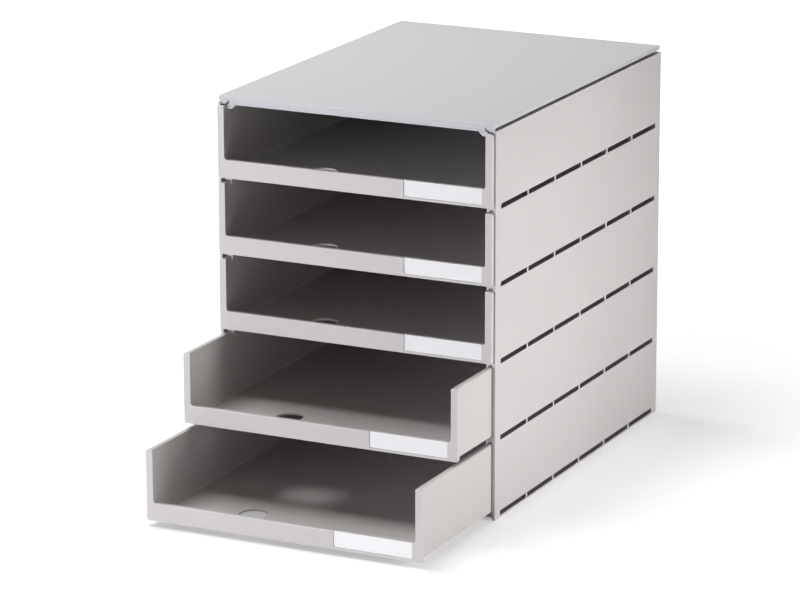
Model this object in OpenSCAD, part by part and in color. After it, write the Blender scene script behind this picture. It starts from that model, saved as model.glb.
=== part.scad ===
// Letter tray stack: a moulded housing of five panels with five open-front drawers.
// Origin: centre of the closed box's footprint, on the table. +X right, +Y back, +Z up.
// The lowest drawer stands on level 0. Sizes are in millimetres.

/* [Housing] */
// Width across the two side panels
body_w = 246; // [236:1:270]
// Depth from the closed drawers' fronts to the back of the side panels
body_d = 335; // [334:1:380]
// Height of one drawer level
level_pitch = 63; // [50:1:90]
// Height of the side panels above the last level
head_h = 2.5; // [2:0.5:10]
// Thickness of a side panel
panel_t = 2.6; // [2.4:0.1:5]
// Thickness of the back panel
back_t = 2.5; // [2:0.25:3.5]
// Thickness of the base panel
base_t = 2.2; // [1.5:0.1:2.5]
// Distance from the closed drawers' fronts to the base panel
base_setback = 20; // [16:1:30]

/* [Top panel] */
// Thickness of the top plate
top_t = 3.5; // [2:0.25:8]
// Height of the shadow gap between side panels and top plate
top_gap = 2; // [1:0.25:5]
// Inset of the top plate from the side panels' outer faces
top_inset = 1; // [0:0.25:2]
// Inset of the bearing strips from the side panels' outer faces
strip_inset = 1.5; // [1:0.25:2]
// Distance from the back edge at which the bearing strips end
strip_short = 12; // [4:1:30]
// Depth to which the front flange hangs below the top plate
flange_drop = 3.5; // [2.5:0.1:3.7]
// Thickness of the front flange
flange_t = 2; // [1.5:0.1:4]
// Setback of the front flange from the top plate's front edge
flange_setback = 1; // [0.5:0.25:3]
// Width of a stop block at an end of the front flange
stop_block_w = 8; // [7:0.5:12]
// Distance the stop block's foot reaches out under the bearing strip
stop_foot = 2; // [0.5:0.25:3]

/* [Rails] */
// Distance a rail stands in from its side panel
rail_w = 7.4; // [6:0.2:10]
// Height of a rail
rail_h = 6; // [5:0.25:9]
// Height of a rail's underside above its level
rail_lift = 0.7; // [0.4:0.1:3]
// Wall of the hollow rail
rail_wall = 1; // [0.8:0.1:1.4]
// Distance from the closed drawers' fronts to the rails
rail_setback = 8; // [7.5:0.25:9]
// Slots in each row, which open the rail to the outside
slots_per_row = 6; // [3:1:9]
// Rib between two slots
slot_rib = 2.5; // [1.5:0.25:6]
// Distance from the first and last slot to the panel's edges
slot_margin = 10; // [9.5:0.25:20]
// Length of the stop tooth under a rail's front end
tooth_l = 4; // [2:0.5:8]
// Distance the stop tooth hangs below its rail
tooth_drop = 3.2; // [2.5:0.1:6]

/* [Drawers] */
// Length of a drawer, front to back
tray_l = 330; // [320:0.5:331]
// Thickness of the double-skinned side walls
wall_t = 4.4; // [3.5:0.1:5]
// Skin of the side walls
skin_t = 1.4; // [1:0.1:1.6]
// Thickness of the floor
floor_t = 2; // [1.5:0.1:4]
// Thickness of the back wall
tray_back_t = 2; // [1.5:0.1:4]
// Distance of the back wall's top below the side walls' top
tray_back_drop = 10; // [8:1:30]
// Depth of the front frame, which closes against the front edges of the side panels
frame_t = 3.4; // [2.5:0.1:4]
// Inset of the front frame from the side panels' outer faces
frame_inset = 1.6; // [1.3:0.1:2.2]
// Height of the front lip
lip_h = 15.2; // [12:0.1:30]
// Distance the front lip hangs below the floor
lip_drop = 2.8; // [1:0.1:4]
// Radius at the frame's upper outer corners
frame_r_top = 2.5; // [1.5:0.5:4]
// Radius at the frame's lower outer corners
frame_r_low = 2; // [1:0.5:4]
// Radius where the lip meets an upright
frame_r_in = 2.5; // [1:0.5:6]
// Travel of a drawer from closed to its stop
travel = 235; // [150:1:260]
// Height of the stop nib on a side wall
nib_h = 2.2; // [1.5:0.1:4]
// Length of the stop nib
nib_l = 6; // [3:0.5:12]

/* [Finger slot] */
// Width of the slot in a drawer's floor
finger_w = 22; // [16:1:34]
// Length of the slot
finger_l = 36; // [34:1:60]
// Distance from the drawer's front to the slot
finger_setback = 14; // [10:1:40]
// Distance of the slot to the left of the drawer's middle
finger_shift = 46; // [0:1:80]

/* [Labels] */
// Width of a label card
label_w = 67.5; // [30:0.5:110]
// Height of a label card
label_h = 13; // [8:0.5:13]
// Thickness of a label card
card_t = 0.5; // [0.4:0.1:0.6]
// Thickness of a clear label cover
cover_t = 0.7; // [0.5:0.1:0.9]
// Distance from the label to the upright beside it
label_inset = 3.2; // [1:0.1:20]
// Depth to which the cover's hook reaches behind the lip
hook_drop = 3.5; // [2:0.5:8]

/* [Snap lugs] */
// Height or length of a snap lug
lug_l = 8; // [4:1:14]
// Height of the base panel's snap lugs
lug_h = 2; // [1.2:0.1:2.2]
// Distance the base panel's snap lugs reach into the rails
lug_out = 1.6; // [1:0.1:1.8]
// Distance the back panel's snap lugs reach into the side panels
back_lug_out = 1; // [0.6:0.1:1.2]

/* [Clearances] */
// Play between a drawer and the rail it runs on
run_gap = 0.3; // [0.2:0.05:0.5]
// Play between a drawer and the rail above it
over_gap = 0.4; // [0.3:0.05:1]
// Play between a drawer and the side panels
side_gap = 0.6; // [0.4:0.1:1.2]
// Gap round the stop blocks and above the top drawer
front_gap = 0.9; // [0.4:0.1:1.2]
// Play between stops when they meet
stop_gap = 0.3; // [0.2:0.05:0.5]
// Clearance between fixed pieces
fit_gap = 0.1; // [0.05:0.05:0.2]

/* [Position shown] */
// Distance the fourth drawer is pulled out
pull_4 = 62; // [0:1:235]
// Distance the fifth drawer is pulled out
pull_5 = 125; // [0:1:235]

/* [Hidden] */
$fn = 48;

housing_grey = "#d2d1d1";
top_grey = "#cfcfd3";
drawer_grey = "#d3d2d8";
card_white = "#fbfbfb";

levels = 5;
pulls = [0, 0, 0, pull_4, pull_5];
// Overlap that joins two shapes of one solid, and by which a cut passes a face
weld = 0.5;
// Height of the back panel's snap lugs within each level, as a share of the level
lug_level = 0.5;

front_y = -body_d / 2;
// Front edges of the housing, behind the front frames of closed drawers
housing_y = front_y + frame_t + stop_gap;
back_y = body_d / 2;
outer_x = body_w / 2;
inner_x = outer_x - panel_t;
panel_h = levels * level_pitch + head_h;
plate_z = panel_h + top_gap;

// Rails, measured on level 0
rail_x = inner_x - rail_w;
rail_top = rail_lift + rail_h;
rail_y = front_y + rail_setback;
rail_end_y = back_y - back_t - fit_gap;
slot_l = (back_y - housing_y - 2 * slot_margin - (slots_per_row - 1) * slot_rib) / slots_per_row;
slot_pitch = slot_l + slot_rib;
stop_y = rail_y + tooth_l;

// Drawers, measured on level 0 and closed
tray_x = inner_x - side_gap;
bay_x = tray_x - wall_t;
tray_z = rail_top + run_gap;
tray_top = level_pitch + rail_lift - over_gap;
tray_end_y = front_y + tray_l;
frame_x = outer_x - frame_inset;
frame_back_y = front_y + frame_t;
lip_z = tray_z - lip_drop;
lip_top = lip_z + lip_h;
tooth_x = bay_x - stop_gap;
nib_x = rail_x + stop_gap;
nib_y = stop_y + travel + stop_gap;
apron_run = lip_drop * 1.3;
flange_x = tooth_x - stop_foot;
flange_y = housing_y + flange_setback;

// Labels
label_x = bay_x - label_inset - label_w;
pocket_d = cover_t + card_t + 2 * fit_gap;
label_z = lip_top - label_h;

// Shared helpers

module both_sides() {
    children();
    mirror([1, 0, 0]) children();
}

module on_level(level) {
    translate([0, 0, level * level_pitch]) children();
}

// Moves a closed drawer's pieces to the place of drawer n, counted from the top
module at_drawer(n) {
    on_level(levels - n) translate([0, -pulls[n - 1], 0]) children();
}

// A box between two corners
module block(low, high) {
    translate(low) cube(high - low);
}

// Upright plate profile, wide by w, with its own radii below and above
module soft_plate(w, z_low, z_high, r_low, r_high) {
    difference() {
        translate([-w / 2, z_low]) square([w, z_high - z_low]);
        both_sides() {
            translate([w / 2 - r_high, z_high - r_high]) difference() {
                square(r_high + weld);
                circle(r_high);
            }
            translate([w / 2 - r_low, z_low + r_low]) difference() {
                translate([0, -r_low - weld]) square(r_low + weld);
                circle(r_low);
            }
        }
    }
}

// Housing

// Hollow rail of one level on the right side panel
module rail() {
    block([rail_x, rail_y, rail_lift], [inner_x + weld, rail_end_y, rail_top]);
}

// Tooth under a rail's front end, which stops the drawer below
module stop_tooth() {
    block([rail_x, rail_y, rail_lift - tooth_drop], [tooth_x, stop_y, rail_lift + weld]);
}

// Row of slots that opens one rail to the outside
module slot_row() {
    for (i = [0 : slots_per_row - 1]) {
        slot_y = housing_y + slot_margin + i * slot_pitch;
        block([rail_x + rail_wall, slot_y, rail_lift + rail_wall],
              [outer_x + weld, slot_y + slot_l, rail_top - rail_wall]);
    }
}

// Snap lugs of the base panel, or with grow above 0 the windows for them
module base_lugs(grow) {
    lug_z = rail_lift + rail_h / 2;
    for (i = [0 : slots_per_row - 1]) {
        lug_y = housing_y + slot_margin + i * slot_pitch + slot_l / 2;
        if (lug_y - lug_l / 2 > front_y + base_setback)
            block([rail_x - fit_gap - weld, lug_y - lug_l / 2 - grow, lug_z - lug_h / 2 - grow],
                  [rail_x - fit_gap + lug_out, lug_y + lug_l / 2 + grow, lug_z + lug_h / 2 + grow]);
    }
}

// Snap lugs of the back panel, or with grow above 0 the pockets for them
module back_lugs(grow) {
    lug_y = back_y - back_t / 2;
    for (level = [0 : levels - 1])
        on_level(level + lug_level)
            block([inner_x - weld, lug_y - back_t / 4 - grow, -lug_l / 2 - grow],
                  [inner_x - fit_gap + back_lug_out + grow, lug_y + back_t / 4 + grow, lug_l / 2 + grow]);
}

module side_panel() {
    difference() {
        union() {
            block([inner_x, housing_y, 0], [outer_x, back_y, panel_h]);
            for (level = [0 : levels - 1]) on_level(level) rail();
            for (level = [1 : levels - 1]) on_level(level) stop_tooth();
        }
        for (level = [0 : levels - 1]) on_level(level) slot_row();
        base_lugs(fit_gap);
        back_lugs(fit_gap);
    }
}

module side_panel_left() {
    color(housing_grey) mirror([1, 0, 0]) side_panel();
}

module side_panel_right() {
    color(housing_grey) side_panel();
}

// Block at the front flange's end, which stops the top drawer; its foot points outwards
module top_stop_block() {
    stop_z = levels * level_pitch + rail_lift - tooth_drop;
    flange_z = plate_z - flange_drop;
    block_x = tooth_x - stop_block_w;
    translate([0, stop_y, 0]) rotate([90, 0, 0]) linear_extrude(stop_y - flange_y) polygon([
        [flange_x, plate_z + weld],
        [flange_x, panel_h - front_gap],
        [tooth_x, panel_h - front_gap],
        [tooth_x, stop_z],
        [block_x + flange_z - stop_z, stop_z],
        [block_x, flange_z],
        [block_x, plate_z + weld]
    ]);
}

// Strip that bears on a side panel, with the rib that locates it inside the panel
module bearing_strip() {
    strip_x = flange_x + front_gap;
    rib_x = tooth_x + front_gap;
    rib_z = (levels - 1) * level_pitch + tray_top + front_gap;
    strip_end_y = back_y - strip_short;
    block([strip_x, flange_y, panel_h], [outer_x - strip_inset, strip_end_y, plate_z + weld]);
    block([rib_x, flange_y, rib_z], [inner_x - fit_gap, strip_end_y, panel_h + weld]);
}

module top_panel() {
    color(top_grey) {
        block([-outer_x + top_inset, housing_y, plate_z],
              [outer_x - top_inset, back_y, plate_z + top_t]);
        block([-flange_x, flange_y, plate_z - flange_drop],
              [flange_x, flange_y + flange_t, plate_z + weld]);
        both_sides() {
            top_stop_block();
            bearing_strip();
        }
    }
}

// Shallow pan between the lowest rails, clipped to them by its lugs
module base_panel() {
    pan_x = rail_x - fit_gap;
    pan_y = front_y + base_setback;
    pan_top = rail_top - weld;
    color(housing_grey) {
        block([-pan_x, pan_y, 0], [pan_x, rail_end_y, base_t]);
        block([-pan_x, pan_y, 0], [pan_x, pan_y + base_t, pan_top]);
        both_sides() {
            block([pan_x - base_t, pan_y, 0], [pan_x, rail_end_y, pan_top]);
            base_lugs(0);
        }
    }
}

module back_panel() {
    color(housing_grey) {
        block([-inner_x + fit_gap, back_y - back_t, 0], [inner_x - fit_gap, back_y, panel_h]);
        both_sides() back_lugs(0);
    }
}

// Drawers

// U-shaped front frame: the lip and the two uprights
module front_frame() {
    translate([0, frame_back_y, 0]) rotate([90, 0, 0]) linear_extrude(frame_t) difference() {
        soft_plate(2 * frame_x, lip_z, tray_top, frame_r_low, frame_r_top);
        translate([-bay_x, lip_top + frame_r_in]) square([2 * bay_x, tray_top]);
        translate([-bay_x + frame_r_in, lip_top])
            square([2 * (bay_x - frame_r_in), frame_r_in + weld]);
        both_sides() translate([bay_x - frame_r_in, lip_top + frame_r_in]) circle(frame_r_in);
    }
}

// Sloping foot that carries the lip down from the floor
module apron() {
    translate([-tray_x, front_y, 0]) rotate([90, 0, 90]) linear_extrude(2 * tray_x) polygon([
        [frame_t - weld, lip_z],
        [frame_t, lip_z],
        [frame_t + apron_run, tray_z],
        [frame_t + apron_run, tray_z + floor_t],
        [frame_t - weld, tray_z + floor_t]
    ]);
}

// Double-skinned right side wall with the nib that meets the stop tooth
module tray_wall() {
    difference() {
        block([bay_x, frame_back_y - weld, tray_z], [tray_x, tray_end_y, tray_top]);
        block([bay_x + skin_t, frame_back_y + apron_run, tray_z - weld],
              [tray_x - skin_t, tray_end_y - skin_t, tray_top - skin_t]);
    }
    block([nib_x, nib_y, tray_top - nib_h], [bay_x + weld, nib_y + nib_l, tray_top]);
}

module finger_slot() {
    r = finger_w / 2;
    y_near = front_y + finger_setback + r;
    y_far = front_y + finger_setback + finger_l - r;
    z_low = tray_z - weld;
    z_high = tray_z + floor_t + weld;
    for (y = [y_near, y_far])
        translate([-finger_shift, y, z_low]) cylinder(r = r, h = z_high - z_low);
    block([-finger_shift - r, y_near, z_low], [-finger_shift + r, y_far, z_high]);
}

// Recess in the lip's front for the label card and its cover
module label_pocket() {
    block([label_x - fit_gap, front_y - weld, label_z - fit_gap],
          [label_x + label_w + fit_gap, front_y + pocket_d, lip_top + weld]);
}

module drawer_tray(n) {
    color(drawer_grey) at_drawer(n) difference() {
        union() {
            front_frame();
            apron();
            block([-bay_x - skin_t / 2, frame_back_y - weld, tray_z],
                  [bay_x + skin_t / 2, tray_end_y, tray_z + floor_t]);
            block([-bay_x - skin_t / 2, tray_end_y - tray_back_t, tray_z],
                  [bay_x + skin_t / 2, tray_end_y, tray_top - tray_back_drop]);
            both_sides() tray_wall();
        }
        finger_slot();
        label_pocket();
    }
}

// Labels

module label_card(n) {
    card_y = front_y + cover_t + fit_gap;
    color(card_white) at_drawer(n)
        block([label_x, card_y, label_z], [label_x + label_w, card_y + card_t, lip_top - fit_gap]);
}

// Clear cover in front of the card, hooked over the lip
module label_cover(n) {
    hook_y = frame_back_y + fit_gap;
    hook_z = lip_top + fit_gap;
    right_x = label_x + label_w;
    color([0.93, 0.95, 0.97, 0.35]) at_drawer(n) {
        block([label_x, front_y, label_z], [right_x, front_y + cover_t, hook_z + cover_t]);
        block([label_x, front_y, hook_z], [right_x, hook_y + cover_t, hook_z + cover_t]);
        block([label_x, hook_y, hook_z - hook_drop], [right_x, hook_y + cover_t, hook_z + cover_t]);
    }
}

side_panel_left();
side_panel_right();
top_panel();
base_panel();
back_panel();
drawer_tray(1);  // drawer_tray_1
drawer_tray(2);  // drawer_tray_2
drawer_tray(3);  // drawer_tray_3
drawer_tray(4);  // drawer_tray_4
drawer_tray(5);  // drawer_tray_5
label_card(1);  // label_card_1
label_card(2);  // label_card_2
label_card(3);  // label_card_3
label_card(4);  // label_card_4
label_card(5);  // label_card_5
label_cover(1);  // label_cover_1
label_cover(2);  // label_cover_2
label_cover(3);  // label_cover_3
label_cover(4);  // label_cover_4
label_cover(5);  // label_cover_5
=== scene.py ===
# %% [markdown]
# # A letter tray stack with drawers
#
# The object is a plastic desk box: a housing of five moulded panels with five open-front drawers. Three
# drawers are closed, the fourth and the fifth stand part of the way out. This lesson models every panel
# and drawer from simple shapes, gives them the soft edges of moulded plastic, and lights them like a
# catalogue picture.
#
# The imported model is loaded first. It says where each piece is, so nothing here is placed by eye.

# %% Load the fixed frame
import math

import bmesh
import bpy
from mathutils import Matrix, Vector


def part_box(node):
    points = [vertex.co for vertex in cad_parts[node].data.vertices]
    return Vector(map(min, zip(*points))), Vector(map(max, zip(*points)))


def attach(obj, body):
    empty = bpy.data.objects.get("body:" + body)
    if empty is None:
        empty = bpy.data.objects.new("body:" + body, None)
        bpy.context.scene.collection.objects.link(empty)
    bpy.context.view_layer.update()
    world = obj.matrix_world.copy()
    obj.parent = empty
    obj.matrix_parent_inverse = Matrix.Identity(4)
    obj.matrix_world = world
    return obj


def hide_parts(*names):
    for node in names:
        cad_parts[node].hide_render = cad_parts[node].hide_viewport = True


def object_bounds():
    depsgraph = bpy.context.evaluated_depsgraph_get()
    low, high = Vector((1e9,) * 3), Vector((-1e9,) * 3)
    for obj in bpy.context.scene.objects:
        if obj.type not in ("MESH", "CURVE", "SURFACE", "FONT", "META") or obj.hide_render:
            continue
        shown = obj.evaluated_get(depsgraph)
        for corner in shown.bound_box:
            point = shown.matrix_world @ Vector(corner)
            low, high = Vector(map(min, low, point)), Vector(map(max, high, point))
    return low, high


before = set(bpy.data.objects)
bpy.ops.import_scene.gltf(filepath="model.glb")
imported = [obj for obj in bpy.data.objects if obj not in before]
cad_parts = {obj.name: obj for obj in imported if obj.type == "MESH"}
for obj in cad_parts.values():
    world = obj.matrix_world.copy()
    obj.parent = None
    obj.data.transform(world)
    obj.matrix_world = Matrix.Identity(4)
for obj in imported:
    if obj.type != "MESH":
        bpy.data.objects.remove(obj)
cad_low, cad_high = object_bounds()
print("pieces in the frame:", len(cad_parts))
print("size of the whole object, in millimetres:", [round(1000 * side) for side in cad_high - cad_low])

# %% [markdown]
# ## The camera
#
# A catalogue picture is taken from far away with a long lens, because lines then stay nearly parallel. The
# spot, the two angles and the lens were fitted to the edges of the housing. A camera looks along its own
# -Z, and `to_track_quat` turns that axis to the wanted direction. A last small turn about the line of
# sight is the roll.

# %% Camera
SENSOR_WIDTH_MM = 36.0
LENS_MM = 181.0
CAMERA_SPOT = Vector((1.3979, -2.9196, 1.0221))
CAMERA_AZIMUTH = math.radians(26.24)
CAMERA_ELEVATION = math.radians(15.46)
CAMERA_ROLL = math.radians(-0.16)
FAR_CLIP = 20.0


def add_object(name, data):
    """An object that holds a mesh, a lamp or a camera, linked to the scene."""
    obj = bpy.data.objects.new(name, data)
    bpy.context.scene.collection.objects.link(obj)
    return obj


def place_camera():
    """Adds the camera at its spot, looking down at the front and the right side of the object."""
    level = math.cos(CAMERA_ELEVATION)
    look = Vector((-math.sin(CAMERA_AZIMUTH) * level, math.cos(CAMERA_AZIMUTH) * level,
                   -math.sin(CAMERA_ELEVATION)))
    turn = look.to_track_quat("-Z", "Y").to_matrix() @ Matrix.Rotation(CAMERA_ROLL, 3, "Z")
    data = bpy.data.cameras.new("photo_camera")
    data.sensor_width = SENSOR_WIDTH_MM
    data.lens = LENS_MM
    data.clip_end = FAR_CLIP
    camera = add_object("photo_camera", data)
    camera.matrix_world = Matrix.Translation(CAMERA_SPOT) @ turn.to_4x4()
    bpy.context.scene.camera = camera


place_camera()
camera_distance = (CAMERA_SPOT - (cad_low + cad_high) / 2).length
print("camera distance to the object's middle, in metres:", round(camera_distance, 2))

# %% [markdown]
# ## Helpers for shapes
#
# Every panel starts as a box or as a flat outline that is extruded. A bmesh is an editable mesh in memory:
# its operators do what the tools of Edit Mode do, and the result goes into an object at the very end.
#
# `block` moves the corners of a cube, and `prism` rounds the corners of an outline and pulls it into a
# solid. Both set the corners to exact values, so that two shapes that share a plane really share it. In a
# vertex bevel of a square corner the offset is the radius, and a profile of 0.5 makes it a true arc.

# %% Boxes and outlines
MM = 0.001
ACROSS, ALONG, UP = Vector((1, 0, 0)), Vector((0, 1, 0)), Vector((0, 0, 1))


def block(low, high):
    """A closed box between two corners, given in millimetres."""
    bm = bmesh.new()
    bmesh.ops.create_cube(bm, size=1)
    for vert in bm.verts:
        vert.co = [(high[i] if vert.co[i] > 0 else low[i]) * MM for i in range(3)]
    return bm


def prism(corners, axis, start, end, arc_steps=6):
    """An outline of (u, v, radius) corners in millimetres, extruded along axis from start to end."""
    bm = bmesh.new()
    spot = {"X": lambda u, v: (start, u, v),
            "Y": lambda u, v: (u, start, v),
            "Z": lambda u, v: (u, v, start)}[axis]
    verts = [bm.verts.new([value * MM for value in spot(u, v)]) for u, v, radius in corners]
    bm.faces.new(verts)
    for vert, (u, v, radius) in zip(verts, corners):
        if radius:
            bmesh.ops.bevel(bm, geom=[vert], offset=radius * MM, offset_type="OFFSET", affect="VERTICES",
                            segments=arc_steps, profile=0.5, material=-1)
    grown = bmesh.ops.extrude_face_region(bm, geom=bm.faces[:], use_keep_orig=True)
    for item in grown["geom"]:
        if isinstance(item, bmesh.types.BMVert):
            item.co["XYZ".index(axis)] = end * MM
    bmesh.ops.recalc_face_normals(bm, faces=bm.faces)
    return bm


def rectangle(low, high, radius):
    """The four corners of an outline between two (u, v) places, all with the same radius."""
    (low_u, low_v), (high_u, high_v) = low, high
    corners = ((low_u, low_v), (high_u, low_v), (high_u, high_v), (low_u, high_v))
    return [(u, v, radius) for u, v in corners]


trial = prism(rectangle((0, 0), (10, 10), 2), "Y", 0, 5)
print("a 10 by 10 by 5 mm prism with corners rounded by 2 mm has",
      round(trial.calc_volume() / MM ** 3, 1), "mm3")
trial.free()

# %% [markdown]
# Boxes are welded into one shell, or cut from it, by a Boolean modifier. The exact solver copes with faces
# that lie in one plane. The modifier needs objects, so two are made for a moment and removed again. What
# comes back has stray edges across its flat faces, and a limited dissolve takes them out.
#
# Where a flat face has holes, some edges have to stay, and which ones stay depends on the order in which
# the mesh lists its edges. That order differs a little from run to run. So the mesh is first sorted by
# position: each point gets a single number, a sum of its coordinates with uneven weights, and the same
# script gives the same mesh.

# %% Welding and cutting
DOUBLES_MM = 0.001
FLAT_ANGLE = math.radians(0.5)
ORDER_WEIGHTS = Vector((1.0, 7.31, 53.9))


def in_order(bm):
    """Lists the vertices, edges and faces by their position, the same way in every run."""
    bm.verts.sort(key=lambda vert: vert.co.dot(ORDER_WEIGHTS))
    bm.edges.sort(key=lambda edge: (edge.verts[0].co + edge.verts[1].co).dot(ORDER_WEIGHTS))
    bm.faces.sort(key=lambda face: face.calc_center_median().dot(ORDER_WEIGHTS))


def as_mesh(name, bm):
    """Turns a bmesh into mesh data and frees it."""
    mesh = bpy.data.meshes.new(name)
    bm.to_mesh(mesh)
    bm.free()
    return mesh


def passing_object(name, bm):
    """A short-lived object that holds a bmesh while a modifier works on it."""
    in_order(bm)
    return add_object(name, as_mesh(name, bm))


def merged(shapes):
    """Several shapes in one bmesh, not yet welded."""
    whole = bmesh.new()
    for shape in shapes:
        mesh = as_mesh("passing", shape)
        whole.from_mesh(mesh)
        bpy.data.meshes.remove(mesh)
    return whole


def boolean(base, others, operation, dissolve=True):
    """Welds shapes to a base (UNION) or cuts them from it (DIFFERENCE)."""
    base_obj = passing_object("base", base)
    other_obj = passing_object("others", merged(others))
    step = base_obj.modifiers.new("boolean", "BOOLEAN")
    step.operation = operation
    step.solver = "EXACT"
    step.use_self = True
    step.object = other_obj
    solved = base_obj.evaluated_get(bpy.context.evaluated_depsgraph_get())
    bm = bmesh.new()
    bm.from_mesh(solved.to_mesh())
    solved.to_mesh_clear()
    for obj in (base_obj, other_obj):
        mesh = obj.data
        bpy.data.objects.remove(obj)
        bpy.data.meshes.remove(mesh)
    bmesh.ops.remove_doubles(bm, verts=bm.verts, dist=DOUBLES_MM * MM)
    in_order(bm)
    if dissolve:
        bmesh.ops.dissolve_limit(bm, angle_limit=FLAT_ANGLE, verts=bm.verts, edges=bm.edges, delimit=set())
    bm.normal_update()
    return bm


def weld(base, *others, dissolve=True):
    return boolean(base, others, "UNION", dissolve)


def cut(base, *others):
    return boolean(base, others, "DIFFERENCE")


# %% [markdown]
# Moulded plastic has no knife edges. `round_edges` bevels the edges that a test picks, and writes how much
# a fingertip would rub each new face into an attribute called rub, which the material reads later. An
# inside corner is rounded as well, and becomes the small cove that a mould leaves.

# %% Rounding edges
SHARP_ANGLE = math.radians(28)


def is_sharp(edge):
    return edge.is_manifold and edge.calc_face_angle(0) > SHARP_ANGLE


def round_edges(bm, radius, segments=2, picks=lambda edge: True):
    """Bevels the sharp edges that pass a test by a radius in millimetres, and marks the new faces."""
    rub = bm.faces.layers.float.get("rub") or bm.faces.layers.float.new("rub")
    edges = [edge for edge in bm.edges if is_sharp(edge) and picks(edge)]
    made = bmesh.ops.bevel(bm, geom=edges, offset=radius * MM, offset_type="OFFSET", affect="EDGES",
                           segments=segments, profile=0.5, material=-1, clamp_overlap=False)
    for face in made["faces"]:
        face[rub] = 1
    bm.normal_update()
    return len(edges)


def is_outside(edge):
    return edge.is_convex


def middle(edge):
    """The middle of an edge, in millimetres."""
    return (edge.verts[0].co + edge.verts[1].co) / 2 / MM


def near(value, target, reach=0.05):
    return abs(value - target) < reach


# %% [markdown]
# The last helper turns a finished shape into a piece. Weighted normals let the large flat faces stay flat
# while the narrow bevels carry all of the curve, which gives the thin bright lines that edges of moulded
# plastic show. The few edges that aren't rounded are marked sharp, so that the shading breaks there.

# %% From a shape to a piece
BREAK_ANGLE = math.radians(60)
FLAT_FACE_WEIGHT = 60
made_pieces = []


def add_piece(name, bm, material, body, node):
    """Makes the object, lets it ride on its body and stand for its CAD node."""
    in_order(bm)
    for face in bm.faces:
        face.smooth = True
    for edge in bm.edges:
        edge.smooth = edge.calc_face_angle(0) < BREAK_ANGLE
    open_edges = sum(not edge.is_manifold for edge in bm.edges)
    volume = bm.calc_volume() / MM ** 3
    mesh = as_mesh(name, bm)
    mesh.materials.append(material)
    piece = add_object(name, mesh)
    normals = piece.modifiers.new("soft_normals", "WEIGHTED_NORMAL")
    normals.mode = "FACE_AREA"
    normals.weight = FLAT_FACE_WEIGHT
    normals.keep_sharp = True
    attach(piece, body)
    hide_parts(node)
    made_pieces.append(piece)
    print(f"{name}: {len(mesh.polygons)} faces, {open_edges} open edges, {volume:.0f} mm3")


# %% [markdown]
# ## Sizes
#
# The frame gives the outer sizes, as the boxes of the panels, of a drawer, of a card and of a cover. Only
# what can't be read from a box is written here, such as the slots and the wall thicknesses.

# %% Sizes from the frame


def box_mm(node):
    """The two corners of a CAD node's box, in millimetres."""
    low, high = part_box(node)
    return low / MM, high / MM


LEVELS = 5
side_low, side_high = box_mm("side_panel_right")
top_low, top_high = box_mm("top_panel")
base_low, base_high = box_mm("base_panel")
back_low, back_high = box_mm("back_panel")
tray_low, tray_high = box_mm("drawer_tray_1")
card_low, card_high = box_mm("label_card_1")
cover_low, cover_high = box_mm("label_cover_1")
level_pitch = tray_low.z - box_mm("drawer_tray_2")[0].z
top_level_z = (LEVELS - 1) * level_pitch
front_y, housing_y, rear_y = tray_low.y, side_low.y, side_high.y
outer_x, panel_h = side_high.x, side_high.z
pulls = {n: front_y - box_mm(f"drawer_tray_{n}")[0].y for n in range(1, LEVELS + 1)}
print("level pitch:", round(level_pitch, 2), "mm; drawers pulled out by", [round(p) for p in pulls.values()])

# %% Sizes that no box shows, in millimetres
PANEL_T = 2.6
FIT = 0.1
RAIL_WALL = 1.0
RAIL_LIFT, RAIL_H, RAIL_SETBACK = 0.7, 6.0, 8.0
SLOTS, SLOT_RIB, SLOT_MARGIN = 6, 2.5, 10.0
TOOTH_L, TOOTH_DROP = 4.0, 3.2
STOP_GAP, FRONT_GAP = 0.3, 0.9
WALL_T, FLOOR_T = 4.4, 2.0
FRAME_T, LIP_H, LIP_DROP = 3.4, 15.2, 2.8
SIDE_GAP = 0.6

inner_x = outer_x - PANEL_T
rail_x = side_low.x
rail_top = RAIL_LIFT + RAIL_H
rail_front_y = front_y + RAIL_SETBACK
stop_y = rail_front_y + TOOTH_L
rail_end_y = back_low.y - FIT
frame_x = tray_high.x
tray_x = inner_x - SIDE_GAP
bay_x = tray_x - WALL_T
lip_z = tray_low.z - top_level_z
lip_top = lip_z + LIP_H
floor_z = lip_z + LIP_DROP
floor_top = floor_z + FLOOR_T
wall_top = tray_high.z - top_level_z
frame_back_y = front_y + FRAME_T
tray_end_y = tray_high.y
tooth_x = bay_x - STOP_GAP
slot_l = (rear_y - housing_y - 2 * SLOT_MARGIN - (SLOTS - 1) * SLOT_RIB) / SLOTS
slot_starts = [housing_y + SLOT_MARGIN + i * (slot_l + SLOT_RIB) for i in range(SLOTS)]
print("inside width of a drawer:", round(2 * bay_x, 1), "mm; slot length:", round(slot_l, 1), "mm")

# %% [markdown]
# ## Materials
#
# All the plastic is matt and light grey, but no two panels catch the light alike. Real moulded plastic has
# a fine sparked grain that was etched into the mould, a slow mottling of its gloss where the melt flowed,
# and corners that hands have rubbed a little smoother and lighter. Two node groups with named sockets hold
# these effects. They are built once and placed in each of the plastics with its own values. The patterns
# read Object coordinates, so they sit still on the piece while a drawer moves.

# %% A small kit for node trees


def new_group(name, inputs, outputs):
    """A shader node group with float and colour sockets; returns the group and its two end nodes."""
    group = bpy.data.node_groups.new(name, "ShaderNodeTree")
    for title, kind, value in inputs:
        socket = group.interface.new_socket(title, in_out="INPUT", socket_type=kind)
        socket.default_value = value
    for title, kind in outputs:
        group.interface.new_socket(title, in_out="OUTPUT", socket_type=kind)
    return group, group.nodes.new("NodeGroupInput"), group.nodes.new("NodeGroupOutput")


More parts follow.
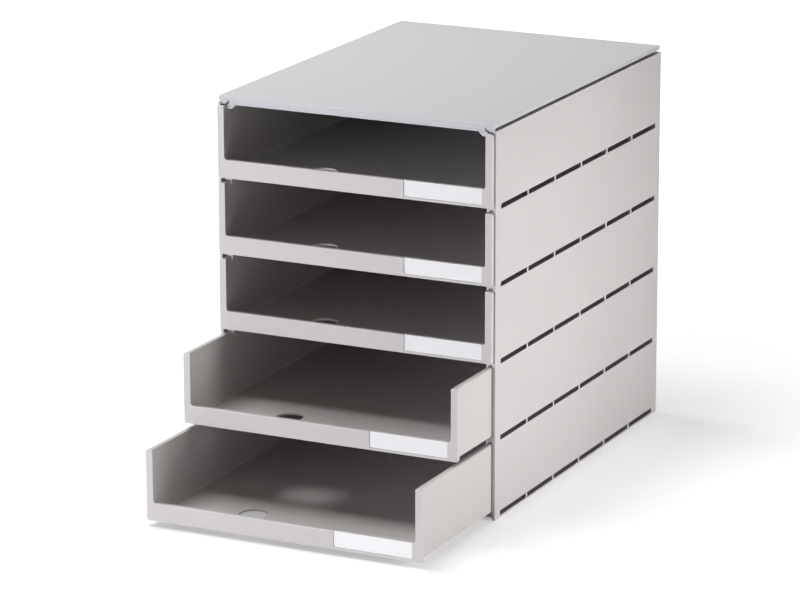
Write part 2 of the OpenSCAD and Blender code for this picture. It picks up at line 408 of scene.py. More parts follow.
def add_node(tree, kind, links=None, **settings):
    """Adds a node, sets its properties and links or fills its inputs by name or number."""
    node = tree.nodes.new(kind)
    for key, value in settings.items():
        setattr(node, key, value)
    for key, value in (links or {}).items():
        if isinstance(value, bpy.types.NodeSocket):
            tree.links.new(value, node.inputs[key])
        else:
            node.inputs[key].default_value = value
    return node


FLOAT, COLOUR = "NodeSocketFloat", "NodeSocketColor"

# %% [markdown]
# Five kinds of node are placed again and again: a sum, a noise, a change of range, a scaled colour and a
# mix of two colours. Each gets a short function that returns its output. The Mix node has sockets of the
# same name for every kind of data, so its colours are picked by number: inputs 6 and 7, and output 2.

# %% The nodes that are used most


def add_math(tree, operation, first, second, clamp=False):
    node = add_node(tree, "ShaderNodeMath", {0: first, 1: second}, operation=operation, use_clamp=clamp)
    return node.outputs[0]


def add_noise(tree, place, scale, detail, roughness=0.5):
    links = {"Vector": place, "Scale": scale, "Detail": detail, "Roughness": roughness}
    return add_node(tree, "ShaderNodeTexNoise", links).outputs[0]


def change_range(tree, value, before, after=(0.0, 1.0), **settings):
    """Stretches one range of a value to another, and clamps what lies outside."""
    links = {"Value": value, "From Min": before[0], "From Max": before[1],
             "To Min": after[0], "To Max": after[1]}
    return add_node(tree, "ShaderNodeMapRange", links, **settings).outputs[0]


def scale_colour(tree, colour, gain):
    return add_node(tree, "ShaderNodeVectorMath", {0: colour, "Scale": gain}, operation="SCALE").outputs[0]


def mix_colours(tree, share, first, second):
    links = {"Factor": share, 6: first, 7: second}
    return add_node(tree, "ShaderNodeMix", links, data_type="RGBA").outputs[2]


# %% [markdown]
# The grain group gives a height for the Bump node. It adds two noises: the sparked texture itself, about
# half a millimetre from crest to crest, and the very shallow waves of a large flat moulding, which bend
# reflections a bit.

# %% Node group: moulded grain
GRAIN_SIZE = 0.5 * MM
WAVINESS = 0.5


def build_grain_group():
    group, ends_in, ends_out = new_group(
        "moulded_grain",
        [("Grain Size", FLOAT, GRAIN_SIZE), ("Waviness", FLOAT, WAVINESS)],
        [("Height", FLOAT)])
    place = add_node(group, "ShaderNodeTexCoord").outputs["Object"]
    fineness = add_math(group, "DIVIDE", 1.0, ends_in.outputs["Grain Size"])
    grain = add_noise(group, place, scale=fineness, detail=2.0, roughness=0.6)
    waves = add_noise(group, place, scale=14.0, detail=1.0)
    swell = add_math(group, "MULTIPLY", waves, ends_in.outputs["Waviness"])
    height = add_math(group, "ADD", grain, swell)
    group.links.new(height, ends_out.inputs["Height"])
    return group


grain_group = build_grain_group()
print("node group", grain_group.name, "has", len(grain_group.nodes), "nodes")

# %% [markdown]
# The finish group varies colour and gloss. Mottling is a slow noise that lightens and darkens the colour
# by one or two parts in a hundred. Rubbing reads the attribute that `round_edges` wrote, breaks it up with
# a noise, and makes the edges lighter and smoother. Dust is a sparse speckle that only lies on faces that
# look up. Last comes a painted shade: it darkens the colour of the faces in deep hollows and seams, where
# shade falls, and reads a second attribute, called hollow, that marks them.

# %% Node group: handled plastic
RUBBED_COLOUR = (0.9, 0.9, 0.9, 1)
DUST_COLOUR = (0.78, 0.76, 0.72, 1)
GLOSS_SWING, POLISH, DULLING = 0.04, 0.3, 0.3


def build_finish_group():
    group, ends_in, ends_out = new_group(
        "handled_plastic",
        [("Color", COLOUR, (0.8, 0.8, 0.8, 1)), ("Roughness", FLOAT, 0.5), ("Mottling", FLOAT, 0.02),
         ("Rubbing", FLOAT, 0.3), ("Dust", FLOAT, 0.1), ("Painted Shade", FLOAT, 0.0)],
        [("Color", COLOUR), ("Roughness", FLOAT)])
    place = add_node(group, "ShaderNodeTexCoord").outputs["Object"]
    facing = add_node(group, "ShaderNodeNewGeometry").outputs["Normal"]
    rub = add_node(group, "ShaderNodeAttribute", attribute_name="rub").outputs["Fac"]
    hollow = add_node(group, "ShaderNodeAttribute", attribute_name="hollow").outputs["Fac"]

    cloud = add_noise(group, place, scale=9.0, detail=4.0)
    swing = change_range(group, cloud, (0.3, 0.7), (-1.0, 1.0))
    change = add_math(group, "MULTIPLY", swing, ends_in.outputs["Mottling"])
    gain = add_math(group, "ADD", change, 1.0)
    mottled = scale_colour(group, ends_in.outputs["Color"], gain)

    patches = add_noise(group, place, scale=60.0, detail=3.0)
    uneven = change_range(group, patches, (0.35, 0.65), (0.2, 1.0))
    rubbed = add_math(group, "MULTIPLY", rub, uneven)
    rubbed = add_math(group, "MULTIPLY", rubbed, ends_in.outputs["Rubbing"], clamp=True)
    lighter = mix_colours(group, rubbed, mottled, RUBBED_COLOUR)

    upward = add_node(group, "ShaderNodeSeparateXYZ", {"Vector": facing}).outputs["Z"]
    lying = change_range(group, upward, (0.6, 0.95))
    specks = add_noise(group, place, scale=700.0, detail=2.0)
    sparse = change_range(group, specks, (0.66, 0.76))
    dust = add_math(group, "MULTIPLY", lying, sparse)
    dust = add_math(group, "MULTIPLY", dust, ends_in.outputs["Dust"], clamp=True)
    dusted = mix_colours(group, dust, lighter, DUST_COLOUR)

    # Painted shade: the marked faces get a darker colour that stands for the shade in hollows and seams.
    painted_shade = add_math(group, "MULTIPLY", hollow, ends_in.outputs["Painted Shade"])
    unshaded = add_math(group, "SUBTRACT", 1.0, painted_shade, clamp=True)
    shaded = scale_colour(group, dusted, unshaded)

    wander = add_math(group, "MULTIPLY", swing, GLOSS_SWING)
    gloss = add_math(group, "ADD", ends_in.outputs["Roughness"], wander)
    polish = add_math(group, "MULTIPLY", rubbed, POLISH)
    gloss = add_math(group, "SUBTRACT", gloss, polish)
    dulled = add_math(group, "MULTIPLY", dust, DULLING)
    gloss = add_math(group, "ADD", gloss, dulled, clamp=True)
    group.links.new(shaded, ends_out.inputs["Color"])
    group.links.new(gloss, ends_out.inputs["Roughness"])
    return group


finish_group = build_finish_group()
print("node group", finish_group.name, "has", len(finish_group.nodes), "nodes")

# %% [markdown]
# A plastic material is then a Principled shader with the two groups in front of it. The housing is a warm
# light grey. The top panel is a touch cooler and darker and the drawers are a touch warmer: all are one
# plastic, and each part's colour was fitted to how that part looks in this light, so the differences are
# painted light and shade.

# %% The three plastics
MOTTLING = 0.015
GRAIN_STRENGTH = 0.12
GRAIN_DEPTH = 0.05 * MM


def new_material(name):
    material = bpy.data.materials.new(name)
    material.use_nodes = True
    tree = material.node_tree
    shader = tree.nodes["Principled BSDF"]
    return material, tree, shader


def plastic(name, colour, roughness, rubbing, dust, painted_shade=0.0):
    material, tree, shader = new_material(name)
    finish = add_node(tree, "ShaderNodeGroup",
                      {"Color": (*colour, 1), "Roughness": roughness, "Mottling": MOTTLING,
                       "Rubbing": rubbing, "Dust": dust, "Painted Shade": painted_shade}, node_tree=finish_group)
    grain = add_node(tree, "ShaderNodeGroup", {"Grain Size": GRAIN_SIZE, "Waviness": WAVINESS},
                     node_tree=grain_group)
    relief = add_node(tree, "ShaderNodeBump", {"Height": grain.outputs["Height"],
                                               "Strength": GRAIN_STRENGTH, "Distance": GRAIN_DEPTH})
    tree.links.new(finish.outputs["Color"], shader.inputs["Base Color"])
    tree.links.new(finish.outputs["Roughness"], shader.inputs["Roughness"])
    tree.links.new(relief.outputs["Normal"], shader.inputs["Normal"])
    shader.inputs["Specular IOR Level"].default_value = 0.4
    return material


# Painted shade: the housing darkens the marked hollows behind its slots, the top panel darkens the marked
# seam under its plate almost to black, and the drawers take none.
housing_plastic = plastic("housing_plastic", (0.59, 0.568, 0.566), roughness=0.5, rubbing=0.35,
                          dust=0.1, painted_shade=0.68)
top_plastic = plastic("top_plastic", (0.565, 0.56, 0.58), roughness=0.48, rubbing=0.4,
                      dust=0.25, painted_shade=0.97)
drawer_plastic = plastic("drawer_plastic", (0.602, 0.572, 0.564), roughness=0.46, rubbing=0.45,
                         dust=0.15)
print("plastics:", housing_plastic.name, top_plastic.name, drawer_plastic.name)

# %% [markdown]
# The label cards are plain white card. Paper is a felt of fibres, so its colour gets faint long flecks and
# its surface a soft, very fine relief. The clear covers are thin sheets of smooth plastic: they let light
# through, and what little one sees of them is their gloss. Both materials are small enough to be built in
# one go.

# %% Card and clear plastic
CARD_FLECK, CARD_WHITE = (0.93, 0.925, 0.915, 1), (0.965, 0.965, 0.96, 1)
COVER_COLOUR = (0.97, 0.98, 1.0, 1)


def card_material():
    material, tree, shader = new_material("label_card")
    place = add_node(tree, "ShaderNodeTexCoord").outputs["Object"]
    stretched = add_node(tree, "ShaderNodeMapping", {"Vector": place, "Scale": (900.0, 900.0, 3500.0)})
    fibres = add_noise(tree, stretched.outputs[0], scale=1.0, detail=3.0)
    fleck = change_range(tree, fibres, (0.3, 0.7))
    tone = mix_colours(tree, fleck, CARD_FLECK, CARD_WHITE)
    relief = add_node(tree, "ShaderNodeBump", {"Height": fibres, "Strength": 0.15, "Distance": 0.02 * MM})
    tree.links.new(tone, shader.inputs["Base Color"])
    tree.links.new(relief.outputs["Normal"], shader.inputs["Normal"])
    shader.inputs["Roughness"].default_value = 0.85
    return material


def clear_material():
    material, tree, shader = new_material("clear_cover")
    place = add_node(tree, "ShaderNodeTexCoord").outputs["Object"]
    ripple = add_noise(tree, place, scale=90.0, detail=1.0)
    relief = add_node(tree, "ShaderNodeBump", {"Height": ripple, "Strength": 0.2, "Distance": 0.1 * MM})
    smear = change_range(tree, ripple, (0.3, 0.7), (0.04, 0.12))
    tree.links.new(smear, shader.inputs["Roughness"])
    tree.links.new(relief.outputs["Normal"], shader.inputs["Normal"])
    shader.inputs["Base Color"].default_value = COVER_COLOUR
    shader.inputs["Alpha"].default_value = 0.06
    return material


label_card = card_material()
clear_cover = clear_material()
print("label materials:", label_card.name, clear_cover.name)

# %% [markdown]
# ## The side panels
#
# Each side panel is one flat board, 2.6 mm thick, with five hollow rails on its inside. The rails are open
# to the outside through rows of long slots: that is how the mould reaches into them, and the slots give
# the object its striped side. It could be welded from boxes, but here it is made as in Edit Mode: loop
# cuts divide a board, the cells of a rail are pulled inwards, and the cells of a slot are pushed in to
# hollow that rail.

# %% Loop cuts, pulls and windows
SAME_WAY = 0.99


def loop_cuts(bm, axis, places):
    """Cuts right round a shape, square to an axis, at each place in millimetres."""
    for place in sorted(set(places)):
        bmesh.ops.bisect_plane(bm, geom=bm.verts[:] + bm.edges[:] + bm.faces[:], dist=DOUBLES_MM * MM,
                               plane_co=axis * place * MM, plane_no=axis)


def faces_within(bm, facing, low, high):
    """The faces that look along an axis and whose middle lies within a box, in millimetres."""
    found = []
    for face in bm.faces:
        spot = face.calc_center_median() / MM
        inside = all(low[i] - FIT < spot[i] < high[i] + FIT for i in range(3))
        if inside and face.normal.dot(facing) > SAME_WAY:
            found.append(face)
    return found


def edges_of(faces):
    """The edges of several faces, each once and always in the same order."""
    return list(dict.fromkeys(edge for face in faces for edge in face.edges))


def pull(bm, faces, by):
    """Extrudes faces as one region and moves it by a vector in millimetres."""
    grown = bmesh.ops.extrude_face_region(bm, geom=faces + edges_of(faces))
    bmesh.ops.translate(bm, vec=Vector(by) * MM,
                        verts=[item for item in grown["geom"] if isinstance(item, bmesh.types.BMVert)])
    bm.normal_update()


def open_window(bm, near_side, far_side):
    """Deletes a face on each side of a wall and bridges their borders."""
    rims = edges_of(near_side + far_side)
    bmesh.ops.delete(bm, geom=near_side + far_side, context="FACES_ONLY")
    bmesh.ops.bridge_loops(bm, edges=rims)


# %% [markdown]
# Snap lugs on the base panel and on the back panel hold the housing together. The base panel's lugs stand
# in small windows in the lowest rail, the back panel's in pockets near the rear edge. A lug and its window
# come from the same values, so the two always fit.

# %% Places of the snap lugs
LUG_L, LUG_H, LUG_OUT, BACK_LUG_OUT = 8.0, 2.0, 1.6, 1.0
PASS = 0.5
lug_z = RAIL_LIFT + RAIL_H / 2
lug_spots = [start + slot_l / 2 for start in slot_starts if start + slot_l / 2 - LUG_L / 2 > base_low.y]
back_t = back_high.y - back_low.y
back_lug_y = back_high.y - back_t / 2
back_lug_t = back_t / 2
level_middles = [(level + 0.5) * level_pitch for level in range(LEVELS)]


def span(centre, size, grow):
    """The two ends of a length about its centre, grown at both ends."""
    return centre - size / 2 - grow, centre + size / 2 + grow


print("lugs under a side:", len(lug_spots), "; lugs behind it:", len(level_middles))

# %% [markdown]
# The board is made in this order: loop cuts wherever a rail, a slot, a stop tooth or a lug begins or ends,
# then the rails pulled inwards, the slots pushed into them, the teeth pulled down from the upper rails'
# front ends, and last the windows and pockets for the lugs.

# %% The board with its rails, slots, stop teeth, windows and pockets


def railed_board():
    """The right side panel. Its loop cuts stay, as straight edges for the bevels to slide along."""
    hollow_x = rail_x + RAIL_WALL
    bm = block((inner_x, housing_y, 0), (outer_x, rear_y, panel_h))
    rails = [level * level_pitch + RAIL_LIFT for level in range(LEVELS)]
    rail_places = [z + step for z in rails for step in (0, RAIL_WALL, RAIL_H - RAIL_WALL, RAIL_H)]
    pocket_places = [place for z in level_middles for place in span(z, LUG_L, FIT)]
    loop_cuts(bm, UP, [*rail_places, *pocket_places, *span(lug_z, LUG_H, FIT)])
    slot_places = [start + step for start in slot_starts for step in (0, slot_l)]
    window_places = [place for spot in lug_spots for place in span(spot, LUG_L, FIT)]
    loop_cuts(bm, ALONG, [rail_front_y, stop_y, rail_end_y, *slot_places, *window_places,
                          *span(back_lug_y, back_lug_t, FIT)])
    for z in rails:
        rail = faces_within(bm, -ACROSS, (inner_x, rail_front_y, z), (inner_x, rail_end_y, z + RAIL_H))
        pull(bm, rail, (rail_x - inner_x, 0, 0))
        for start in slot_starts:
            slot = faces_within(bm, ACROSS, (outer_x, start, z + RAIL_WALL),
                                (outer_x, start + slot_l, z + RAIL_H - RAIL_WALL))
            pull(bm, slot, (hollow_x - outer_x, 0, 0))
    loop_cuts(bm, ACROSS, [tooth_x])
    for z in rails[1:]:
        tooth = faces_within(bm, -UP, (rail_x, rail_front_y, z), (tooth_x, stop_y, z))
        pull(bm, tooth, (0, 0, -TOOTH_DROP))
    low_z, high_z = span(lug_z, LUG_H, 0)
    for spot in lug_spots:
        start, end = span(spot, LUG_L, 0)
        near_side = faces_within(bm, -ACROSS, (rail_x, start, low_z), (rail_x, end, high_z))
        far_side = faces_within(bm, ACROSS, (hollow_x, start, low_z), (hollow_x, end, high_z))
        open_window(bm, near_side, far_side)
    low_y, high_y = span(back_lug_y, back_lug_t, 0)
    for z in level_middles:
        start, end = span(z, LUG_L, 0)
        pocket = faces_within(bm, -ACROSS, (inner_x, low_y, start), (inner_x, high_y, end))
        pull(bm, pocket, (BACK_LUG_OUT, 0, 0))
    return bm


board = railed_board()
print("board:", len(board.faces), "faces,", round(board.calc_volume() / MM ** 3), "mm3")

# %% [markdown]
# The left side panel is the right one mirrored. A mirror turns a shape inside out, so its faces are
# reversed.
#
# The bevel skips the pockets and the corner under the lowest rail, which lie so near an outer edge that
# two bevels would meet. The front edges are straight: the front frames of closed drawers stand in front of
# them.

# %% Side panels
EDGE_R = 0.35


def mirrored(bm):
    """A mirror image across the object's middle plane."""
    twin = bm.copy()
    bmesh.ops.scale(twin, vec=(-1, 1, 1), verts=twin.verts)
    bmesh.ops.reverse_faces(twin, faces=twin.faces)
    return twin


def in_the_open(edge):
    """False for a pocket, and for the inside corner under the lowest rail."""
    spot = middle(edge)
    in_pocket = back_low.y < spot.y < rear_y - PASS
    return not (in_pocket or near(spot.z, RAIL_LIFT) and not edge.is_convex)


def in_a_slot(spot):
    """True for a place, in millimetres, in the hollow behind a slot."""
    z = spot.z % level_pitch - RAIL_LIFT
    in_width = rail_x + RAIL_WALL - FIT < spot.x < outer_x - PASS
    in_height = RAIL_WALL - FIT < z < RAIL_H - RAIL_WALL + FIT
    in_length = any(start - FIT < spot.y < start + slot_l + FIT for start in slot_starts)
    return in_width and in_height and in_length


def mark_painted_shade(bm, test):
    """Writes the attribute called hollow, which gets a painted shade, on the faces whose middle passes a
    test.
    """
    hollow = bm.faces.layers.float.new("hollow")
    marked = [face for face in bm.faces if test(face.calc_center_median() / MM)]
    for face in marked:
        face[hollow] = 1
    return len(marked)


print("edges rounded on a side panel:", round_edges(board, EDGE_R, picks=in_the_open))
# Painted shade: the faces in the hollows behind the slots are marked, and the housing's colour is darkened
# there to stand for their shade.
print("faces in the hollows of its slots:", mark_painted_shade(board, in_a_slot))
add_piece("left_side_panel", mirrored(board), housing_plastic, "housing",
          "side_panel_left")
add_piece("right_side_panel", board, housing_plastic, "housing", "side_panel_right")

# %% [markdown]
# ## The top panel
#
# The top is a plate that floats 2 mm above the side panels, which leaves a dark shadow line all round. It
# stands on a bearing strip along each side, and a rib under each strip locates it inside the side panel. A
# painted shadow on the strips' outer faces makes the line darker still. Along the front hangs a shallow
# flange, which ends in two stop blocks that keep the top drawer from falling out.

# %% Top panel
TOP_T, TOP_GAP, STRIP_INSET, STRIP_SHORT = 3.5, 2.0, 1.5, 12.0
FLANGE_DROP, FLANGE_T, FLANGE_SETBACK = 3.5, 2.0, 1.0
STOP_BLOCK_W, STOP_FOOT = 8.0, 2.0
PLATE_CORNER_R = 1.0
plate_z = panel_h + TOP_GAP
flange_y = housing_y + FLANGE_SETBACK
flange_x = tooth_x - STOP_FOOT


def stop_block():
    """The right stop block, with its foot under the bearing strip and its chamfer towards the middle."""
    stop_z = LEVELS * level_pitch + RAIL_LIFT - TOOTH_DROP
    flange_z = plate_z - FLANGE_DROP
    foot_z = panel_h - FRONT_GAP
    top_z = plate_z + PASS
    block_x = tooth_x - STOP_BLOCK_W
    return prism([(flange_x, top_z, 0), (flange_x, foot_z, 0), (tooth_x, foot_z, 0), (tooth_x, stop_z, 0),
                  (block_x + flange_z - stop_z, stop_z, 0), (block_x, flange_z, 0), (block_x, top_z, 0)],
                 "Y", flange_y, stop_y)


def bearing_strip():
    """The right bearing strip and its locating rib."""
    end_y = rear_y - STRIP_SHORT
    rib_z = top_level_z + wall_top + FRONT_GAP
    strip = block((flange_x + FRONT_GAP, flange_y, panel_h), (outer_x - STRIP_INSET, end_y, plate_z + PASS))
    rib = block((tooth_x + FRONT_GAP, flange_y, rib_z), (inner_x - FIT, end_y, panel_h + PASS))
    return [strip, rib]


def top_panel_shape():
    """The plate gets a loop cut along each strip, so that the strips don't cut a hole in one large face."""
    outline = rectangle((top_low.x, housing_y), (top_high.x, rear_y), PLATE_CORNER_R)
    plate = prism(outline, "Z", plate_z, plate_z + TOP_T)
    strip_middle = (flange_x + outer_x) / 2
    loop_cuts(plate, ACROSS, [-strip_middle, strip_middle])
    flange = block((-flange_x, flange_y, plate_z - FLANGE_DROP),
                   (flange_x, flange_y + FLANGE_T, plate_z + PASS))
    right = [stop_block(), *bearing_strip()]
    return weld(plate, flange, *[mirrored(shape) for shape in right], *right, dissolve=False)


def in_the_seam(spot):
    """True for a place, in millimetres, on a bearing strip behind the dark seam under the plate."""
    return near(abs(spot.x), outer_x - STRIP_INSET) and panel_h < spot.z < plate_z


top_shape = top_panel_shape()
print("edges rounded on the top panel:", round_edges(top_shape, EDGE_R, picks=is_outside))
# Painted shadow: the faces of the bearing strips in the seam under the plate are marked, and the top panel's
# colour is darkened there to deepen the seam's shadow line.
print("faces in its seams:", mark_painted_shade(top_shape, in_the_seam))
add_piece("lid_panel", top_shape, top_plastic, "housing", "top_panel")

# %% [markdown]
# ## The base panel and the back panel
#
# Neither shows in the picture, but both close the housing and hold its sides apart. The base is a shallow
# pan that snaps between the lowest rails, the back is a plain board with a lug at each level. Both are
# welded from boxes.

# %% Base and back
BASE_T = 2.2
RAIL_PASS = 0.5


def base_lug(spot):
    """A snap lug of the base panel on the right."""
    (start, end), (low, high) = span(spot, LUG_L, 0), span(lug_z, LUG_H, 0)
    return block((rail_x - FIT - PASS, start, low), (rail_x - FIT + LUG_OUT, end, high))


def back_lug(z):
    """A snap lug of the back panel on the right."""
    (start, end), (low, high) = span(back_lug_y, back_lug_t, 0), span(z, LUG_L, 0)
    return block((inner_x - PASS, start, low), (inner_x - FIT + BACK_LUG_OUT, end, high))


def base_panel_shape():
    x, y_front, y_end, top = base_high.x - LUG_OUT, base_low.y, base_high.y, rail_top - RAIL_PASS
    floor = block((-x, y_front, 0), (x, y_end, BASE_T))
    front = block((-x, y_front, 0), (x, y_front + BASE_T, top))
    sides = [block((x - BASE_T, y_front, 0), (x, y_end, top))] + [base_lug(spot) for spot in lug_spots]
    return weld(floor, front, *[mirrored(shape) for shape in sides], *sides)


def back_panel_shape():
    x = inner_x - FIT
    board = block((-x, back_low.y, 0), (x, back_high.y, panel_h))
    lugs = [back_lug(z) for z in level_middles]
    return weld(board, *[mirrored(lug) for lug in lugs], *lugs)


for title, shape, node in (("base_pan", base_panel_shape(), "base_panel"),
                           ("back_board", back_panel_shape(), "back_panel")):
    print("edges rounded on the", node, ":", round_edges(shape, EDGE_R, picks=is_outside))
    add_piece(title, shape, housing_plastic, "housing", node)

# %% [markdown]
# ## The drawers
#
# A drawer is a tray with a U-shaped front frame: a low lip with an upright at each end. Its side walls are
# double skins, open below, so that they look thick but weigh little. The frame is an outline with round
# corners, and a sloping foot joins its lip to the floor. A finger slot in the floor lets a fingertip push
# paper up from below.

# %% Front frame and foot
FRAME_R_TOP, FRAME_R_LOW, FRAME_R_IN = 2.5, 2.0, 2.5
FINGER_W, FINGER_L, FINGER_SETBACK, FINGER_SHIFT = 22.0, 36.0, 14.0, 46.0
FINGER_CORNER_R = 10.9
APRON_SLOPE = 1.3
apron_run = LIP_DROP * APRON_SLOPE
foot_x = tray_x - FRAME_R_LOW
WALL_R = 1.5


def front_frame():
    """The U of the lip and the two uprights, drawn as one outline."""
    return prism([(-frame_x, lip_z, FRAME_R_LOW), (frame_x, lip_z, FRAME_R_LOW),
                  (frame_x, wall_top, FRAME_R_TOP), (bay_x, wall_top, 0),
                  (bay_x, lip_top, FRAME_R_IN), (-bay_x, lip_top, FRAME_R_IN),
                  (-bay_x, wall_top, 0), (-frame_x, wall_top, FRAME_R_TOP)], "Y", front_y, frame_back_y)


def foot():
    """The sloping foot that carries the lip down from the floor."""
    front, back = frame_back_y - PASS, frame_back_y + apron_run
    return prism([(front, lip_z, 0), (frame_back_y, lip_z, 0), (back, floor_z, 0), (back, floor_top, 0),
                  (front, floor_top, 0)], "X", -foot_x, foot_x)


def side_wall():
    """The right wall. Its round outer edge stays inside the frame's round corner, which it runs into."""
    outline = [(bay_x, floor_z, 0), (tray_x, floor_z, 0), (tray_x, wall_top, WALL_R), (bay_x, wall_top, 0)]
    return prism(outline, "Y", frame_back_y - PASS, tray_end_y)


def finger_slot():
    left, right = -FINGER_SHIFT - FINGER_W / 2, -FINGER_SHIFT + FINGER_W / 2
    near_y, far_y = front_y + FINGER_SETBACK, front_y + FINGER_SETBACK + FINGER_L
    outline = rectangle((left, near_y), (right, far_y), FINGER_CORNER_R)
    return prism(outline, "Z", floor_z - PASS, floor_top + PASS)


print("front frame:", round(2 * frame_x, 1), "mm wide and", round(wall_top - lip_z, 1), "mm high")

# %% [markdown]
# The tray itself is welded from a floor, two walls, a lower back wall and the frame. Then the hollows are
# cut: the groove between the two skins of each wall, the finger slot, and a pocket in the lip that takes
# the label. A nib on the inside of each wall meets the stop tooth of the rail above when the drawer is
# fully out.

# %% Tray
TRAVEL = 235.0
NIB_H, NIB_L = 2.2, 6.0
SKIN_T, TRAY_BACK_T, TRAY_BACK_DROP = 1.4, 2.0, 10.0
WALL_WELD = 0.7
nib_x = rail_x + STOP_GAP
nib_y = stop_y + TRAVEL + STOP_GAP
pocket_low = Vector((card_low.x - FIT, front_y - PASS, card_low.z - FIT - top_level_z))
pocket_high = Vector((card_high.x + FIT, card_high.y + FIT, lip_top + PASS))


def tray_shape():
    half = bay_x + WALL_WELD
    floor = block((-half, frame_back_y - PASS, floor_z), (half, tray_end_y, floor_top))
    back = block((-half, tray_end_y - TRAY_BACK_T, floor_z), (half, tray_end_y, wall_top - TRAY_BACK_DROP))
    wall = side_wall()
    nib = block((nib_x, nib_y, wall_top - NIB_H), (bay_x + PASS, nib_y + NIB_L, wall_top))
    groove = block((bay_x + SKIN_T, frame_back_y + apron_run, floor_z - PASS),
                   (tray_x - SKIN_T, tray_end_y - SKIN_T, wall_top - SKIN_T))
    welded = weld(front_frame(), foot(), floor, back, mirrored(wall), wall, mirrored(nib), nib)
    return cut(welded, mirrored(groove), groove, finger_slot(), block(pocket_low, pocket_high))


tray = tray_shape()
print("tray:", len(tray.faces), "faces,", round(tray.calc_volume() / MM ** 3), "mm3")

# %% [markdown]
# A mould leaves a rounded cove all round the floor, so that paper corners don't jam and the plastic flows.
# The first test below picks the inside edges of the floor. The second leaves out the low steps behind the
# front frame, which run out to nothing at its round corners, where a bevel would fold over itself. All
# other edges get the small radius.

# %% Coves and edges of the tray
COVE_R = 1.2
COVE_STEPS = 4


def round_the_floor(edge):
    """True for an inside edge where the floor meets a wall, the back or the lip."""
    spot = middle(edge)
    at_wall = near(abs(spot.x), bay_x) and near(edge.verts[0].co.x, edge.verts[1].co.x)
    at_end = near(spot.y, frame_back_y) or near(spot.y, tray_end_y - TRAY_BACK_T)
    return near(spot.z, floor_top) and not edge.is_convex and (at_wall or at_end)


def off_the_steps(edge):
    """False at the back of the frame, for its step to the outer walls and for its two round inner corners."""
    spot = middle(edge)
    at_back = all(near(vert.co.y / MM, frame_back_y) for vert in edge.verts)
    outside = abs(spot.x) > foot_x - FIT
    at_inner_corner = spot.z > lip_top and abs(spot.x) > bay_x - FRAME_R_IN
    return not (at_back and (outside or at_inner_corner))


print("cove edges:", round_edges(tray, COVE_R, COVE_STEPS, round_the_floor))
print("edges rounded on a tray:", round_edges(tray, EDGE_R, picks=off_the_steps))

# %% [markdown]
# The label is a white card in the lip's pocket, and a clear cover hooks over the lip in front of it. The
# card is a thin plate with slightly round corners. The cover's side view is a J, so it is an outline too,
# pulled along the lip.

# %% Card and cover
CARD_CORNER_R = 0.6
BEND_R, INNER_BEND_R = 0.6, 0.15
HOOK_DROP = 3.5


def card_shape():
    low, high = card_low.copy(), card_high.copy()
    low.z -= top_level_z
    high.z -= top_level_z
    outline = rectangle((low.x, low.z), (high.x, high.z), CARD_CORNER_R)
    return prism(outline, "Y", low.y, high.y, arc_steps=3)


def cover_shape():
    sheet = card_low.y - FIT - cover_low.y
    front, back = cover_low.y, cover_high.y
    low, high = cover_low.z - top_level_z, cover_high.z - top_level_z
    hook = lip_top + FIT - HOOK_DROP
    return prism([(front, low, 0), (front, high, BEND_R), (back, high, BEND_R), (back, hook, 0),
                  (back - sheet, hook, 0), (back - sheet, high - sheet, INNER_BEND_R),
                  (front + sheet, high - sheet, INNER_BEND_R), (front + sheet, low, 0)],
                 "X", cover_low.x, cover_high.x, arc_steps=4)


card = card_shape()
cover = cover_shape()
print("card:", len(card.faces), "faces; cover:", len(cover.faces), "faces")

# %% [markdown]
# The tray, the card and the cover were modelled once, closed and for the lowest level. Each of the five
# drawers gets a copy of all three, moved up to its level and out by its pull. The move goes into the mesh,
# and the object stays at the origin, so that the body it rides on can carry it.

# %% Five drawers
for n in range(1, LEVELS + 1):
    shift = Vector((0, -pulls[n], (LEVELS - n) * level_pitch)) * MM
    for title, shape, material, slot_name, node in (
            ("tray", tray, drawer_plastic, "drawer_plastic", "drawer_tray"),
            ("card", card, label_card, "label_paper", "label_card"),
            ("cover", cover, clear_cover, "clear_cover", "label_cover")):
        twin = shape.copy()
        bmesh.ops.translate(twin, vec=shift, verts=twin.verts)
        add_piece(f"{title}_of_drawer_{n}", twin, material, f"drawer_{n}", f"{node}_{n}")
for shape in (tray, card, cover):
    shape.free()

# %% [markdown]
# ## Floor, background and light
#
# A catalogue background is pure white, while the object is lit at a plain level, at which a colour renders
# about as it is written. So the white isn't made with more lamps: the world shows a strength of 1 only to
# rays that come straight from the camera or through gloss and clear plastic, and lights the object with
# much less. That weak light is a little warm, as if it came back from a room, and it reaches into the
# drawers, where few of the lamps' rays do.

# %% World
SKY_STRENGTH = 0.09
SKY_TINT = (1.0, 0.92, 0.84, 1)
WHITE = (1, 1, 1, 1)


def build_world():
    world = bpy.data.worlds.new("studio")
    world.use_nodes = True
    tree = world.node_tree
    tree.nodes.clear()
    path = add_node(tree, "ShaderNodeLightPath")
    seen = add_math(tree, "MAXIMUM", path.outputs["Is Camera Ray"], path.outputs["Is Glossy Ray"])
    seen = add_math(tree, "MAXIMUM", seen, path.outputs["Is Transmission Ray"])
    strength = change_range(tree, seen, (0.0, 1.0), (SKY_STRENGTH, 1.0))
    tint = mix_colours(tree, seen, SKY_TINT, WHITE)
    light = add_node(tree, "ShaderNodeBackground", {"Color": tint, "Strength": strength})
    out = add_node(tree, "ShaderNodeOutputWorld")
    tree.links.new(light.outputs[0], out.inputs["Surface"])
    bpy.context.scene.world = world
    return world


print("world:", build_world().name)

# %% [markdown]
# The floor is one large pale sheet. Its own colour renders almost white near the object, where the lamps
# reach. A glow that only the camera sees lifts it to the background's white: faintly at the object, so
# that its soft shadow stays, and fully where the lamps no longer reach. The distance from the middle is
# the length of the position.

# %% Floor
FLOOR_SIZE = 24.0
FLOOR_TONES = (0.90, 0.90, 0.90, 1), (0.92, 0.92, 0.92, 1)
GLOW_NEAR, GLOW_FAR = 0.35, 1.0
GLOW_START, GLOW_END = 0.3, 1.1


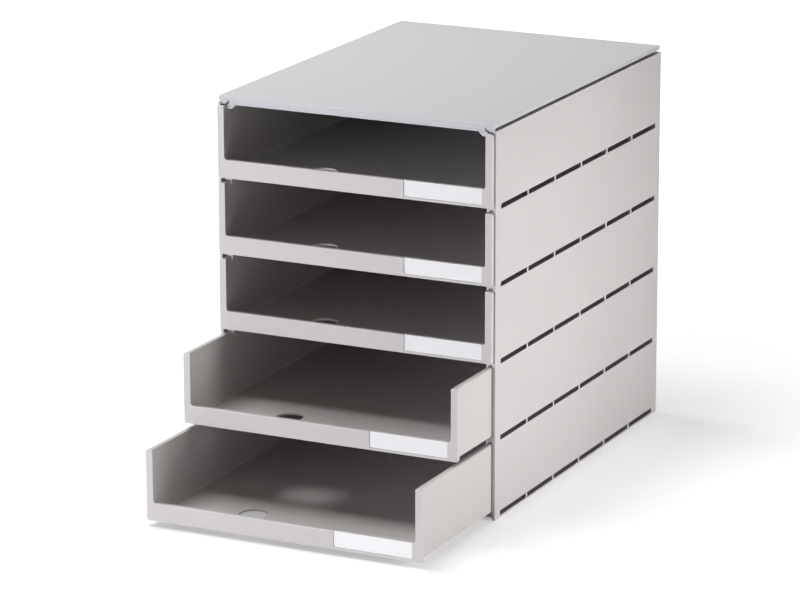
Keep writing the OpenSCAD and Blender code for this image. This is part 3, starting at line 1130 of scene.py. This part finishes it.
def build_floor():
    bm = bmesh.new()
    bmesh.ops.create_grid(bm, x_segments=1, y_segments=1, size=FLOOR_SIZE / 2)
    floor = add_object("studio_floor", as_mesh("studio_floor", bm))
    material, tree, shader = new_material("studio_floor")
    place = add_node(tree, "ShaderNodeTexCoord").outputs["Object"]
    cloud = add_noise(tree, place, scale=3.0, detail=2.0)
    tone = mix_colours(tree, cloud, *FLOOR_TONES)
    tree.links.new(tone, shader.inputs["Base Color"])
    away = add_node(tree, "ShaderNodeVectorMath", {0: place}, operation="LENGTH").outputs["Value"]
    lift = change_range(tree, away, (GLOW_START, GLOW_END), (GLOW_NEAR, GLOW_FAR),
                        interpolation_type="SMOOTHSTEP")
    path = add_node(tree, "ShaderNodeLightPath")
    glow = add_math(tree, "MULTIPLY", path.outputs["Is Camera Ray"], lift)
    tree.links.new(glow, shader.inputs["Emission Strength"])
    shader.inputs["Emission Color"].default_value = WHITE
    shader.inputs["Roughness"].default_value = 0.9
    shader.inputs["Specular IOR Level"].default_value = 0.1
    floor.data.materials.append(material)
    return floor


print("floor:", build_floor().name)

# %% [markdown]
# Three softboxes do the rest. One hangs high on the left, over the top panel. A long low strip in front,
# also on the left, lights the drawers' fronts: they get darker towards the right, and the frames of closed
# drawers throw their shadow on the edge of the right side panel. A small upright strip stands beside that
# panel, just behind its front edge, so that its light falls off along the panel and none of it gets into
# the closed drawers.

# %% Softboxes


def softbox(name, spot, aim, width, height, power, tint=(1, 1, 1)):
    """A rectangular lamp that shines from one place to another; lengths in metres, power in watts."""
    data = bpy.data.lights.new(name, "AREA")
    data.shape = "RECTANGLE"
    data.size = width
    data.size_y = height
    data.energy = power
    data.color = tint
    spot = Vector(spot)
    turn = (Vector(aim) - spot).to_track_quat("-Z", "Y").to_matrix().to_4x4()
    add_object(name, data).matrix_world = Matrix.Translation(spot) @ turn


softbox("top_softbox", spot=(-0.5, -0.05, 1.5), aim=(0.0, 0.0, 0.32),
        width=0.9, height=0.9, power=17.2)
softbox("front_softbox", spot=(-0.75, -1.6, 0.12), aim=(0.0, -0.17, 0.16),
        width=1.2, height=0.2, power=16.8, tint=(0.99, 1.0, 1.07))
softbox("side_softbox", spot=(0.72, -0.11, 0.19), aim=(0.12, -0.1, 0.16),
        width=0.08, height=0.36, power=3.0)
bpy.context.scene.view_settings.view_transform = "Standard"

# %% [markdown]
# ## The pieces made
#
# The last cell counts the pieces that were made and their faces.

# %% Count the pieces
bpy.context.view_layer.update()
print("pieces made:", len(made_pieces), "with", sum(len(p.data.polygons) for p in made_pieces), "faces")
